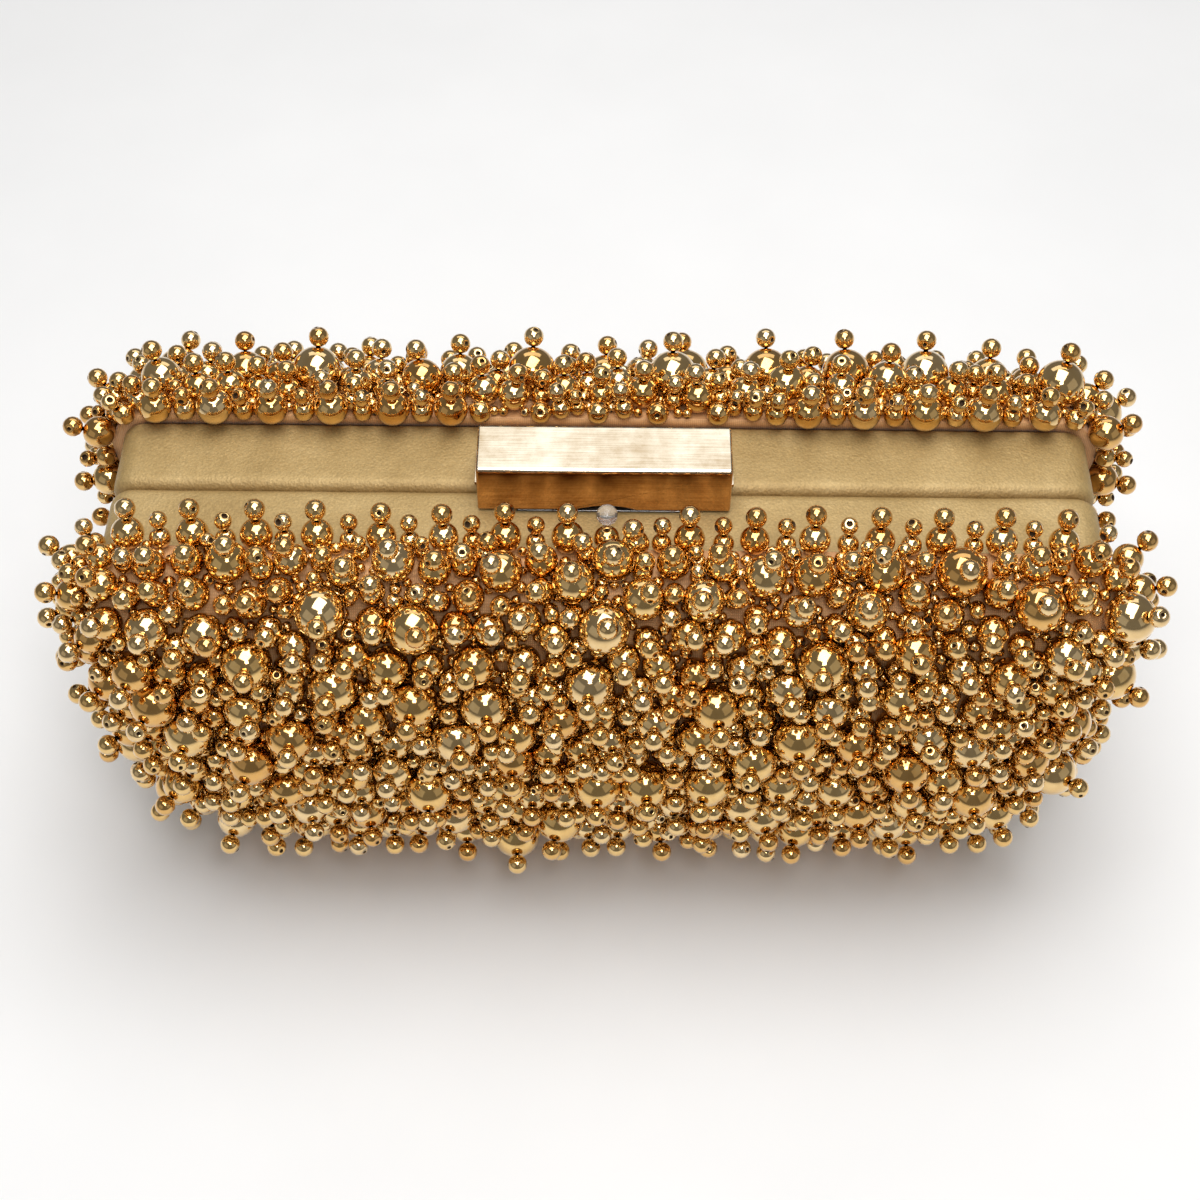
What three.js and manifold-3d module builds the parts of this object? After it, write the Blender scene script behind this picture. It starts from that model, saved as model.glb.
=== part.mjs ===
// Evening clutch: two rigid half-shells covered in beadwork, each with a leather-wrapped rim.
// The rims meet along the seam plane Y = 0, and a long butt hinge joins them along the base.
// A sprung bar clasp on the back rim reaches over the seam and holds the front rim by a magnet.
// Millimetres, +Z up, -Y is the front. The origin is on the resting plane, below the seam.
import * as THREE from "three";
import { mergeVertices } from "three/addons/utils/BufferGeometryUtils.js";
import Module from "manifold-3d";

const wasm = await Module();
wasm.setup();

// ---- driving dimensions -------------------------------------------------------------------
const HEIGHT = 92; // rim, base to top
const TOP_HALF = 100; // half the rim's length along the top
const BASE_HALF = 86; // half the rim's length at the base, before the corners are rounded
const TOP_CORNER = 5;
const BASE_CORNER = 24;
const RIM_DEPTH = 17.5; // seam plane to the rim's outer edge, on each half
const RIM_WALL = 5; // leather, core and leather again
const LEATHER = 1;
const SEAM_ROUND = 2.5; // soft edge of the leather along the seam
const BACK_ROUND = 1.2; // soft edge of the leather next to the beadwork
const GAP = 0.3; // between pieces that lie on each other
const SEAM_GAP = 0.2; // from the seam plane to each rim
const THROUGH = 1; // how far a cutting tool runs past the face that it cuts

const STEP = 3.5; // how far the shell stands proud of the rim at the ends
const RISE = 2; // and along the top
const SHELL_BASE = 14; // height of the shell's underside, which leaves room for the beads
const SHELL_TOP_CORNER = 10;
const SHELL_BASE_CORNER = 34;
const SHOULDER = 16; // radius from the shell's edge to its broad face
const CROWN = 3; // how far the broad face swells in the middle
const CROWN_INSET = 18; // width of the swelling, from the shoulder inwards
const FABRIC = 0.6;
const BOARD = 2; // moulded shell
const LINING = 0.8;
const BEAD_HEIGHT = 10; // thickness of the beadwork over the fabric
const EDGE_BEADS = 6; // its thickness along the rim, where the beads are smaller

const HINGE_Z = 1.8;
const HINGE_HALF = 60; // half the hinge's length
const KNUCKLE_R = 1.5;
const PIN_R = 0.7;
const RUNNING = 0.08; // radial clearance of a pin in its bore
const LEAF = 0.7;
const LEAF_DEPTH = 11;
const GROOVE = 2.4; // half the width of the groove in the rims that takes the knuckles
const KNUCKLES = 7;

const BAR_HALF = 25; // half the clasp bar's length
const BAR_DEPTH = 12.4;
const BAR_TOP = 12; // height of the bar over the rim
const BAR_WALL = 1.2;
const CLASP_PIN = new THREE.Vector2(8, 2.8); // behind the seam and above the rim
const PLATE = 0.8; // thickness of the clasp's base plate

// ---- materials ----------------------------------------------------------------------------
function finish(color, roughness, metalness) {
  return new THREE.MeshStandardMaterial({ color, roughness, metalness });
}
const leather = finish(0xc9a25c, 0.5, 0.35);
const board = finish(0xb59a70, 0.9, 0);
const steel = finish(0x9a9a9c, 0.35, 1);
const aluminium = finish(0xb0b2b4, 0.5, 1);
const plastic = finish(0x2a2826, 0.6, 0);
const silk = finish(0xb07a3c, 0.8, 0);
const beads = finish(0xd79a3a, 0.15, 1);
const satin = finish(0xd8c49a, 0.6, 0);
const brass = finish(0xd9b877, 0.3, 1);

// ---- outlines in the X-Z plane --------------------------------------------------------------
const LEAN = (TOP_HALF - BASE_HALF) / HEIGHT; // how fast the ends lean out with height

// A rounded trapezoid whose ends lean like the rim's: top and base heights, half the length of
// the rim's own end line plus `grow`, and the corner radii.
function trapezoid(top, base, grow, topCorner, baseCorner) {
  return { top, base, grow, topCorner, baseCorner };
}

const RIM = trapezoid(HEIGHT, 0, 0, TOP_CORNER, BASE_CORNER);
const SHELL = trapezoid(HEIGHT + RISE, SHELL_BASE, STEP, SHELL_TOP_CORNER, SHELL_BASE_CORNER);

const TOP_STEPS = 3;
const BASE_STEPS = 5;
const LEAST_CORNER = 0.8;

// The outline moved inwards by `inset`, as points [x, z], counter-clockwise seen from the front.
function outline(shape, inset) {
  const lean = Math.atan(LEAN);
  const end = (z) => BASE_HALF + z * LEAN + (shape.grow - inset) / Math.cos(lean);
  const right = [];
  const arc = (corner, z, from, to, steps) => {
    const r = Math.max(corner - inset, LEAST_CORNER);
    const cz = z > (shape.top + shape.base) / 2 ? z - inset - r : z + inset + r;
    const cx = end(cz) - r / Math.cos(lean);
    for (let i = 0; i <= steps; i++) {
      const a = from + ((to - from) * i) / steps;
      right.push([cx + r * Math.cos(a), cz + r * Math.sin(a)]);
    }
  };
  arc(shape.baseCorner, shape.base, -Math.PI / 2, -lean, BASE_STEPS);
  arc(shape.topCorner, shape.top, -lean, Math.PI / 2, TOP_STEPS);
  const left = right.map(([x, z]) => [-x, z]).reverse();
  return [...right, ...left];
}

// ---- solids -------------------------------------------------------------------------------
// Joins rings of points into one closed surface. A closed loft runs from its last ring back to
// its first, and an open one has flat ends.
function loft(rings, closed) {
  const n = rings[0].length;
  const points = rings.flat();
  const faces = [];
  const spans = closed ? rings.length : rings.length - 1;
  for (let k = 0; k < spans; k++) {
    const a = k * n;
    const b = ((k + 1) % rings.length) * n;
    for (let i = 0; i < n; i++) {
      const j = (i + 1) % n;
      faces.push(a + i, a + j, b + j, a + i, b + j, b + i);
    }
  }
  if (!closed) {
    const last = (rings.length - 1) * n;
    for (let i = 1; i < n - 1; i++) {
      faces.push(0, i + 1, i);
      faces.push(last, last + i, last + i + 1);
    }
  }
  const geometry = new THREE.BufferGeometry().setFromPoints(points);
  geometry.setIndex(faces);
  return facingOut(geometry);
}

// Turns a closed surface the right way round, by the sign of the volume it encloses.
function facingOut(geometry) {
  const p = geometry.getAttribute("position");
  const index = geometry.getIndex().array;
  const corner = [0, 1, 2].map(() => new THREE.Vector3());
  let volume = 0;
  for (let i = 0; i < index.length; i += 3) {
    corner.forEach((v, k) => v.fromBufferAttribute(p, index[i + k]));
    volume += corner[0].dot(corner[1].clone().cross(corner[2]));
  }
  if (volume < 0) {
    for (let i = 0; i < index.length; i += 3) {
      [index[i + 1], index[i + 2]] = [index[i + 2], index[i + 1]];
    }
  }
  return geometry;
}

function ringAt(shape, inset, y) {
  return outline(shape, inset).map(([x, z]) => new THREE.Vector3(x, y, z));
}

// A section of [inset, y] points swept all the way round an outline.
function hoop(shape, section) {
  return loft(section.map(([inset, y]) => ringAt(shape, inset, y)), true);
}

// A flat plate of an outline's shape between two depths.
function plate(shape, inset, y0, y1) {
  return loft([ringAt(shape, inset, y0), ringAt(shape, inset, y1)], false);
}

// The rings of a bowl's skin, from its edge round the shoulder and over the crowned face. `out`
// moves the whole skin outwards.
const SHOULDER_STEPS = 3;
const CROWN_STEPS = 2;
function bowlRings(shape, edge, radius, out) {
  const rings = [];
  const r = radius + out;
  for (let i = 0; i <= SHOULDER_STEPS; i++) {
    const a = ((Math.PI / 2) * i) / SHOULDER_STEPS;
    rings.push(ringAt(shape, -out + r * (1 - Math.cos(a)), -edge - r * Math.sin(a)));
  }
  for (let i = 1; i <= CROWN_STEPS; i++) {
    const t = i / CROWN_STEPS;
    const swell = CROWN * Math.sin((t * Math.PI) / 2);
    rings.push(ringAt(shape, radius + CROWN_INSET * t, -edge - r - swell));
  }
  return rings;
}

function bowl(shape, edge, radius, outer, inner) {
  const outside = bowlRings(shape, edge, radius, outer);
  const inside = bowlRings(shape, edge, radius, inner);
  return loft([...inside.reverse(), ...outside], false);
}

function box(x0, x1, y0, y1, z0, z1) {
  const geometry = new THREE.BoxGeometry(x1 - x0, y1 - y0, z1 - z0);
  return geometry.translate((x0 + x1) / 2, (y0 + y1) / 2, (z0 + z1) / 2);
}

const ROUND = 14; // sides of the small round parts
function rodX(radius, x0, x1, y, z) {
  const geometry = new THREE.CylinderGeometry(radius, radius, x1 - x0, ROUND);
  return geometry.rotateZ(Math.PI / 2).translate((x0 + x1) / 2, y, z);
}

function rodZ(radius, z0, z1, x, y) {
  const geometry = new THREE.CylinderGeometry(radius, radius, z1 - z0, ROUND);
  return geometry.rotateX(Math.PI / 2).translate(x, y, (z0 + z1) / 2);
}

// ---- boolean joins and cuts -----------------------------------------------------------------
const MERGE = 1e-4;
function solid(geometry) {
  const bare = geometry.clone();
  bare.deleteAttribute("normal");
  bare.deleteAttribute("uv");
  const merged = mergeVertices(bare, MERGE);
  const vertProperties = merged.getAttribute("position").array;
  const triVerts = new Uint32Array(merged.getIndex().array);
  return new wasm.Manifold(new wasm.Mesh({ numProp: 3, vertProperties, triVerts }));
}

function shape(made) {
  const mesh = made.getMesh();
  const geometry = new THREE.BufferGeometry();
  geometry.setAttribute("position", new THREE.BufferAttribute(mesh.vertProperties, 3));
  geometry.setIndex(new THREE.BufferAttribute(mesh.triVerts, 1));
  return geometry;
}

function join(...geometries) {
  return shape(geometries.map(solid).reduce((a, b) => a.add(b)));
}

function cut(geometry, ...tools) {
  return shape(tools.map(solid).reduce((a, b) => a.subtract(b), solid(geometry)));
}

// ---- rims and shells ------------------------------------------------------------------------
// The same shape on the other side of the seam plane.
function acrossSeam(geometry) {
  return facingOut(geometry.clone().scale(1, -1, 1));
}

// A rounded corner of a section, from angle a0 to a1 about [inset, y].
const CORNER_STEPS = 2;
function corner(inset, y, r, a0, a1) {
  return Array.from({ length: CORNER_STEPS + 1 }, (_, i) => {
    const a = a0 + ((a1 - a0) * i) / CORNER_STEPS;
    return [inset + r * Math.cos(a), y + r * Math.sin(a)];
  });
}

// Groove across both rims that the hinge's knuckles lie in.
function hingeGroove(half) {
  const end = HINGE_HALF + THROUGH;
  return box(-end, end, -half, half, -THROUGH, RIM_WALL + THROUGH);
}

// Leather folded round the rim's core: outer face, seam face and inner face.
function rimLeather() {
  const section = [
    ...corner(BACK_ROUND, -RIM_DEPTH + BACK_ROUND, BACK_ROUND, -Math.PI / 2, -Math.PI),
    ...corner(SEAM_ROUND, -SEAM_GAP - SEAM_ROUND, SEAM_ROUND, Math.PI, Math.PI / 2),
    [RIM_WALL, -SEAM_GAP],
    [RIM_WALL, -RIM_DEPTH],
    [RIM_WALL - LEATHER, -RIM_DEPTH],
    [RIM_WALL - LEATHER, -SEAM_GAP - LEATHER],
    [2 * LEATHER, -SEAM_GAP - LEATHER],
    [LEATHER, -SEAM_GAP - 2 * LEATHER],
    [LEATHER, -RIM_DEPTH + BACK_ROUND],
  ];
  return cut(hoop(RIM, section), hingeGroove(GROOVE), ...rivetHoles());
}

// Stiff core of the rim, which carries the hinge leaf and the clasp.
function rimCore() {
  const outer = LEATHER + GAP;
  const inner = RIM_WALL - LEATHER - GAP;
  const seam = -SEAM_GAP - outer;
  const section = [
    [outer, -RIM_DEPTH + GAP],
    [outer, seam - LEATHER],
    [outer + LEATHER, seam],
    [inner, seam],
    [inner, -RIM_DEPTH + GAP],
  ];
  return cut(hoop(RIM, section), hingeGroove(GROOVE + GAP), ...rivetHoles());
}

// Moulded shell: a bowl with a flange that bears on the rim's outer edge.
const FLANGE = 2;
const shellEdge = RIM_DEPTH + GAP;
function shell() {
  const skin = -(FABRIC + GAP);
  const dish = bowl(SHELL, shellEdge, SHOULDER, skin, skin - BOARD);
  const y0 = -shellEdge;
  const y1 = -shellEdge - FLANGE;
  const flange = join(plate(RIM, GAP, y0, y1), plate(SHELL, BOARD, y0, y1));
  const [before, after] = [y0 + THROUGH, y1 - THROUGH];
  const inRim = solid(plate(RIM, RIM_WALL - LEATHER, before, after));
  const inShell = solid(plate(SHELL, BOARD + THROUGH, before, after));
  return join(dish, cut(flange, shape(inRim.intersect(inShell))));
}

// The skins over the shell stop short of its flange, along the base and round its corners.
function clearOfFlange(skin) {
  const ledge = shellEdge + FLANGE + GAP;
  return cut(skin, box(-TOP_HALF, TOP_HALF, -ledge, 0, 0, SHELL_BASE + SHELL_BASE_CORNER));
}

function fabric() {
  return clearOfFlange(bowl(SHELL, shellEdge, SHOULDER, 0, -FABRIC));
}

// Beadwork: the space that the stitched bead stacks fill, thinner along the rim.
const BEAD_EDGE_WIDTH = 4;
function beadwork() {
  const inside = bowlRings(SHELL, shellEdge, SHOULDER, GAP);
  const [, ...rest] = bowlRings(SHELL, shellEdge, SHOULDER, BEAD_HEIGHT);
  const edge = [
    ringAt(SHELL, -EDGE_BEADS, -shellEdge),
    ringAt(SHELL, -BEAD_HEIGHT, -shellEdge - BEAD_EDGE_WIDTH),
  ];
  return clearOfFlange(loft([...inside.reverse(), ...edge, ...rest], false));
}

// Lining: a shallow tray with a collar that covers the joint to the rim.
const LINING_INSET = 7.2;
const LINING_BASE = SHELL_BASE + FABRIC + BOARD + 3 * GAP;
const LINING_CORNER = SHELL_BASE_CORNER - FABRIC - BOARD;
const TRAY = trapezoid(
  HEIGHT - LINING_INSET,
  LINING_BASE,
  -LINING_INSET,
  LEAST_CORNER,
  LINING_CORNER,
);
const COLLAR = trapezoid(
  HEIGHT - RIM_WALL - GAP,
  LINING_INSET,
  -RIM_WALL - GAP,
  LEAST_CORNER,
  BASE_CORNER - RIM_WALL,
);
const COLLAR_Y = -1.5;
function lining() {
  const radius = SHOULDER - FABRIC - BOARD - 3 * GAP;
  const outside = bowlRings(TRAY, shellEdge, radius, 0);
  const inside = bowlRings(TRAY, shellEdge, radius, -LINING);
  const collar = [
    ringAt(TRAY, LINING, COLLAR_Y),
    ringAt(COLLAR, 0, COLLAR_Y),
    ringAt(COLLAR, 0, COLLAR_Y - LINING),
    ringAt(TRAY, 0, COLLAR_Y - LINING),
  ];
  return loft([...inside.reverse(), ...collar, ...outside], false);
}

// ---- hinge along the base -------------------------------------------------------------------
const LEAF_Z = RIM_WALL + GAP; // the leaves lie on the inside of the rims
const RIVETS_X = [-51, -17, 17, 51];
const RIVET_Y = -7.5;
const RIVET_R = 0.9;
const RIVET_HEAD_R = 1.7;
const RIVET_TOP = 0.6;
const RIVET_FIT = 0.15;
const RIVET_FOOT = LEATHER + 2 * GAP;

function rivetHoles() {
  const radius = RIVET_R + RIVET_FIT;
  const top = LEAF_Z + LEAF + THROUGH;
  return RIVETS_X.map((x) => rodZ(radius, RIVET_FOOT - GAP, top, x, RIVET_Y));
}

// Every second knuckle belongs to the same leaf: `first` is 0 or 1. A web joins each knuckle to
// the leaf.
const LEAF_EDGE = -0.5;
const WEB = 0.8;
function hingeLeaf(first) {
  const pitch = (2 * HINGE_HALF) / KNUCKLES;
  const leafTop = LEAF_Z + LEAF;
  const parts = [box(-HINGE_HALF, HINGE_HALF, -LEAF_DEPTH, LEAF_EDGE, LEAF_Z, leafTop)];
  for (let k = first; k < KNUCKLES; k += 2) {
    const x0 = -HINGE_HALF + k * pitch + GAP / 2;
    const x1 = x0 + pitch - GAP;
    parts.push(rodX(KNUCKLE_R, x0, x1, 0, HINGE_Z));
    parts.push(box(x0, x1, LEAF_EDGE - WEB, LEAF_EDGE, HINGE_Z, leafTop));
  }
  const end = HINGE_HALF + THROUGH;
  const bore = rodX(PIN_R + RUNNING, -end, end, 0, HINGE_Z);
  return cut(join(...parts), bore, ...rivetHoles());
}

function hingeRivet(x) {
  const head = LEAF_Z + LEAF + GAP;
  return join(
    rodZ(RIVET_R, RIVET_FOOT, head + RIVET_TOP, x, RIVET_Y),
    rodZ(RIVET_HEAD_R, head, head + RIVET_TOP, x, RIVET_Y),
  );
}

// ---- clasp ----------------------------------------------------------------------------------
const pinY = CLASP_PIN.x;
const pinZ = HEIGHT + CLASP_PIN.y;
const plateZ = HEIGHT + GAP;
const plateTop = plateZ + PLATE;

const BAR_FRONT = -BAR_DEPTH / 2;
const BAR_BACK = BAR_DEPTH / 2;
const BAR_FOOT = 0.5; // clearance of the bar's front and ends over the rim
const SOFT = 0.9; // rounding of the bar's long top edges
const SOFT_STEPS = 3;
const BASE_PLATE_FRONT = 0.6;
const BASE_PLATE_HALF = 25.9;
const BARREL_R = 1.4;
const CLASP_PIN_R = 0.7;
const SPRING_HALF = 4.5; // half the gap in the barrel that the spring sits in
const BAR_KNUCKLE = 8; // length of the bar's two knuckles, next to the spring
const NAIL_HALF = 6; // half the width of the fingernail notch
const NAIL_RISE = 1.1;
const NAIL_SIDES = 100;

function stripped(geometry) {
  geometry.deleteAttribute("normal");
  geometry.deleteAttribute("uv");
  return geometry;
}

// An outline of [y, z] points, extruded along X between two planes.
function slab(points, x0, x1) {
  const flat = new THREE.Shape(points.map(([y, z]) => new THREE.Vector2(y, z)));
  const geometry = new THREE.ExtrudeGeometry(flat, { depth: x1 - x0, bevelEnabled: false });
  // The outline's first axis becomes Y, its second becomes Z, and its depth runs along X.
  const turn = new THREE.Matrix4().makeBasis(
    new THREE.Vector3(0, 1, 0),
    new THREE.Vector3(0, 0, 1),
    new THREE.Vector3(1, 0, 0),
  );
  return geometry.applyMatrix4(turn).translate(x0, 0, 0);
}

// A quarter-round top edge of the bar, from angle a0 to a1 about (y, z).
function softEdge(y, z, a0, a1) {
  return Array.from({ length: SOFT_STEPS + 1 }, (_, i) => {
    const a = a0 + ((a1 - a0) * i) / SOFT_STEPS;
    return [y + SOFT * Math.cos(a), z + SOFT * Math.sin(a)];
  });
}

// Side view of the bar. Its underside steps up where it passes over the base plate.
function barProfile() {
  const top = HEIGHT + BAR_TOP - SOFT;
  const step = BASE_PLATE_FRONT - GAP;
  return [
    [BAR_FRONT, HEIGHT + BAR_FOOT],
    [step, HEIGHT + BAR_FOOT],
    [step, plateTop + GAP],
    [BAR_BACK, plateTop + GAP],
    ...softEdge(BAR_BACK - SOFT, top, 0, Math.PI / 2),
    ...softEdge(BAR_FRONT + SOFT, top, Math.PI / 2, Math.PI),
  ];
}

// Barrel segments between pairs of X values, each with a web to `y` and `z`.
function knuckles(spans, y, z) {
  return spans.flatMap(([x0, x1]) => [
    rodX(BARREL_R, x0, x1, pinY, pinZ),
    box(x0, x1, Math.min(y, pinY), Math.max(y, pinY), Math.min(z, pinZ), pinZ + PLATE / 2),
  ]);
}

const barSpan = [SPRING_HALF + GAP, SPRING_HALF + BAR_KNUCKLE];
const baseSpan = [barSpan[1] + GAP, barSpan[1] + GAP + BAR_KNUCKLE];
const bothSides = ([x0, x1]) => [[x0, x1], [-x1, -x0]];

function claspBore() {
  return rodX(CLASP_PIN_R + RUNNING, -BAR_HALF, BAR_HALF, pinY, pinZ);
}

// Cylinder across the front wall that leaves a shallow arc in its lower edge.
function nailNotch() {
  const radius = (NAIL_HALF ** 2 + NAIL_RISE ** 2) / (2 * NAIL_RISE);
  const notch = new THREE.CylinderGeometry(radius, radius, 3 * BAR_WALL, NAIL_SIDES);
  return notch.translate(0, BAR_FRONT, HEIGHT + BAR_FOOT + NAIL_RISE - radius);
}

function claspBar() {
  const hood = slab(barProfile(), -BAR_HALF, BAR_HALF);
  const wall = BAR_WALL;
  const hollow = box(
    -BAR_HALF + wall,
    BAR_HALF - wall,
    BAR_FRONT + wall,
    BAR_BACK - wall,
    HEIGHT - THROUGH,
    HEIGHT + BAR_TOP - wall,
  );
  const hollowed = cut(hood, hollow, nailNotch());
  const webs = knuckles(bothSides(barSpan), BAR_BACK - wall / 2, pinZ - PLATE / 2);
  return cut(join(hollowed, ...webs), claspBore());
}

// Moulded insert that fills the front of the bar and holds the magnet.
const INSERT_BACK = BASE_PLATE_FRONT - 2 * GAP;
const INSERT_FOOT = HEIGHT + BAR_FOOT + GAP;
const MAGNET_HALF = 10;
const MAGNET_DEPTH = 2.8;
const MAGNET_TALL = 3;
const insertFront = BAR_FRONT + BAR_WALL + GAP;
function claspInsert() {
  const end = BAR_HALF - BAR_WALL - GAP;
  const top = HEIGHT + BAR_TOP - BAR_WALL - GAP;
  const block = box(-end, end, insertFront, INSERT_BACK, INSERT_FOOT + NAIL_RISE, top);
  const seat = MAGNET_HALF + GAP;
  const back = insertFront + MAGNET_DEPTH + GAP;
  const roof = INSERT_FOOT + MAGNET_TALL + GAP;
  return cut(block, box(-seat, seat, insertFront - THROUGH, back, HEIGHT, roof));
}

function claspMagnet() {
  const y1 = insertFront + MAGNET_DEPTH;
  return box(-MAGNET_HALF, MAGNET_HALF, insertFront, y1, INSERT_FOOT, INSERT_FOOT + MAGNET_TALL);
}

const SCREW_R = 0.8;
const SCREW_HEAD_R = 1.5;
const SCREW_HEAD = 0.6;
const SCREW_FOOT = HEIGHT - RIM_WALL + LEATHER + 2 * GAP; // ends inside the core
const BASE_SCREWS_X = [-16, 16];
const BASE_SCREW_Y = 2.9;
const STRIKE_RIVETS_X = [-14, 14];
const STRIKE_HALF = 17;
const STRIKE_Y = [-5.8, -2.8];
const strikeMiddle = (STRIKE_Y[0] + STRIKE_Y[1]) / 2;

function topHoles(xs, y) {
  const top = plateTop + THROUGH;
  return xs.map((x) => rodZ(SCREW_R + RIVET_FIT, SCREW_FOOT - GAP, top, x, y));
}

function claspScrew(x) {
  const under = plateTop + GAP;
  return join(
    rodZ(SCREW_R, SCREW_FOOT, under + SCREW_HEAD, x, BASE_SCREW_Y),
    rodZ(SCREW_HEAD_R, under, under + SCREW_HEAD, x, BASE_SCREW_Y),
  );
}

function claspBase() {
  const back = pinY + BARREL_R;
  const flat = box(-BASE_PLATE_HALF, BASE_PLATE_HALF, BASE_PLATE_FRONT, back, plateZ, plateTop);
  const webs = knuckles(bothSides(baseSpan), back, plateZ);
  return cut(join(flat, ...webs), claspBore(), ...topHoles(BASE_SCREWS_X, BASE_SCREW_Y));
}

// Steel strip let into the leather under the magnet, with its flush rivets.
function strikeSeat() {
  const end = STRIKE_HALF + GAP;
  const [y0, y1] = STRIKE_Y;
  return box(-end, end, y0 - GAP, y1 + GAP, HEIGHT - LEATHER - GAP / 2, HEIGHT + THROUGH);
}

function strikePlate() {
  const flat = box(-STRIKE_HALF, STRIKE_HALF, ...STRIKE_Y, HEIGHT - LEATHER, HEIGHT);
  return cut(flat, ...topHoles(STRIKE_RIVETS_X, strikeMiddle));
}

function strikeRivet(x) {
  return rodZ(SCREW_R, SCREW_FOOT, HEIGHT, x, strikeMiddle);
}

// Torsion spring round the pin. Its fixed leg leaves the coil along its tangent and lies on the
// base plate, and its other end stops at the bar's back wall.
const WIRE_R = 0.22;
const WIRE_SEGMENTS = 3;
const SPRING_R = 1.15;
const SPRING_TURNS = 7.25;
const SPRING_LEG = 1.2;
const STEPS_PER_TURN = 9;
class TorsionSpring extends THREE.Curve {
  getPoint(t, target = new THREE.Vector3()) {
    const coil = SPRING_TURNS * 2 * Math.PI * SPRING_R;
    const s = t * (coil + SPRING_LEG);
    const turned = Math.min(s, coil) / SPRING_R;
    const leg = Math.max(s - coil, 0);
    const a = Math.PI + turned;
    const width = 2 * (SPRING_HALF - WIRE_R - GAP);
    const x = -width / 2 + (width * turned * SPRING_R) / coil;
    return target.set(x, pinY + SPRING_R * Math.cos(a) + leg, pinZ + SPRING_R * Math.sin(a));
  }
}

function claspSpring() {
  const section = new THREE.Shape();
  section.absarc(0, 0, WIRE_R, 0, 2 * Math.PI);
  return stripped(
    new THREE.ExtrudeGeometry(section, {
      steps: Math.round(SPRING_TURNS * STEPS_PER_TURN),
      curveSegments: WIRE_SEGMENTS,
      bevelEnabled: false,
      extrudePath: new TorsionSpring(),
    }),
  );
}

// ---- assembly ---------------------------------------------------------------------------------
const clutch = new THREE.Group();

function piece(group, name, geometry, material) {
  const mesh = new THREE.Mesh(geometry, material);
  mesh.name = name;
  group.add(mesh);
}

// Repeated pieces, numbered from the left.
function pieces(group, name, xs, make, material) {
  xs.forEach((x, i) => piece(group, `${name}_${i + 1}`, make(x), material));
}

const strikeHoles = [strikeSeat(), ...topHoles(STRIKE_RIVETS_X, strikeMiddle)];
const baseHoles = topHoles(BASE_SCREWS_X, BASE_SCREW_Y);

const frontHalf = new THREE.Group();
piece(frontHalf, "front_rim_leather", cut(rimLeather(), ...strikeHoles), leather);
piece(frontHalf, "front_rim_core", cut(rimCore(), ...strikeHoles), aluminium);
piece(frontHalf, "front_shell", shell(), board);
piece(frontHalf, "front_fabric", fabric(), silk);
piece(frontHalf, "front_beadwork", beadwork(), beads);
piece(frontHalf, "front_lining", lining(), satin);
piece(frontHalf, "front_hinge_leaf", hingeLeaf(0), brass);
pieces(frontHalf, "front_hinge_rivet", RIVETS_X, hingeRivet, brass);
piece(frontHalf, "strike_plate", strikePlate(), steel);
pieces(frontHalf, "strike_rivet", STRIKE_RIVETS_X, strikeRivet, steel);

const backHalf = new THREE.Group();
piece(backHalf, "back_rim_leather", cut(acrossSeam(rimLeather()), ...baseHoles), leather);
piece(backHalf, "back_rim_core", cut(acrossSeam(rimCore()), ...baseHoles), aluminium);
piece(backHalf, "back_shell", acrossSeam(shell()), board);
piece(backHalf, "back_fabric", acrossSeam(fabric()), silk);
piece(backHalf, "back_beadwork", acrossSeam(beadwork()), beads);
piece(backHalf, "back_lining", acrossSeam(lining()), satin);
piece(backHalf, "back_hinge_leaf", acrossSeam(hingeLeaf(1)), brass);
pieces(backHalf, "back_hinge_rivet", RIVETS_X, (x) => acrossSeam(hingeRivet(x)), brass);
piece(backHalf, "hinge_pin", rodX(PIN_R, -HINGE_HALF, HINGE_HALF, 0, HINGE_Z), steel);
piece(backHalf, "clasp_base", claspBase(), brass);
pieces(backHalf, "clasp_screw", BASE_SCREWS_X, claspScrew, steel);
const claspPinHalf = baseSpan[1];
piece(backHalf, "clasp_pin", rodX(CLASP_PIN_R, -claspPinHalf, claspPinHalf, pinY, pinZ), steel);
piece(backHalf, "clasp_spring", claspSpring(), steel);

const clasp = new THREE.Group();
piece(clasp, "clasp_bar", claspBar(), brass);
piece(clasp, "clasp_insert", claspInsert(), plastic);
piece(clasp, "clasp_magnet", claspMagnet(), steel);

clutch.add(frontHalf, backHalf, clasp);

export default clutch;
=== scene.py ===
import math
import random

import bmesh
import bpy
import numpy as np
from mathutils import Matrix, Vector, noise


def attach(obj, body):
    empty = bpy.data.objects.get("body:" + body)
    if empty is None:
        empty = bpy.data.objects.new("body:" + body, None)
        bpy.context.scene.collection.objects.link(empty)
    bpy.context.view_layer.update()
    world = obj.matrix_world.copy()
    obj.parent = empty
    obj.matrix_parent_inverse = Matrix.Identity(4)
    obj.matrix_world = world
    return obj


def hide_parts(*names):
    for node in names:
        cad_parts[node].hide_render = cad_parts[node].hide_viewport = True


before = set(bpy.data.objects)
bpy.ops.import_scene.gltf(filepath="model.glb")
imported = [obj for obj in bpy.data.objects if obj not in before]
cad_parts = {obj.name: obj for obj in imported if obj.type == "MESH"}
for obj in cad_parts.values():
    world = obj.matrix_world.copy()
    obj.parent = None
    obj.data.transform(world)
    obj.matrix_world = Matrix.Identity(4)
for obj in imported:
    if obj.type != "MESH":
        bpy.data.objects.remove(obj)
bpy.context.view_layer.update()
MM = 0.001

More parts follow.
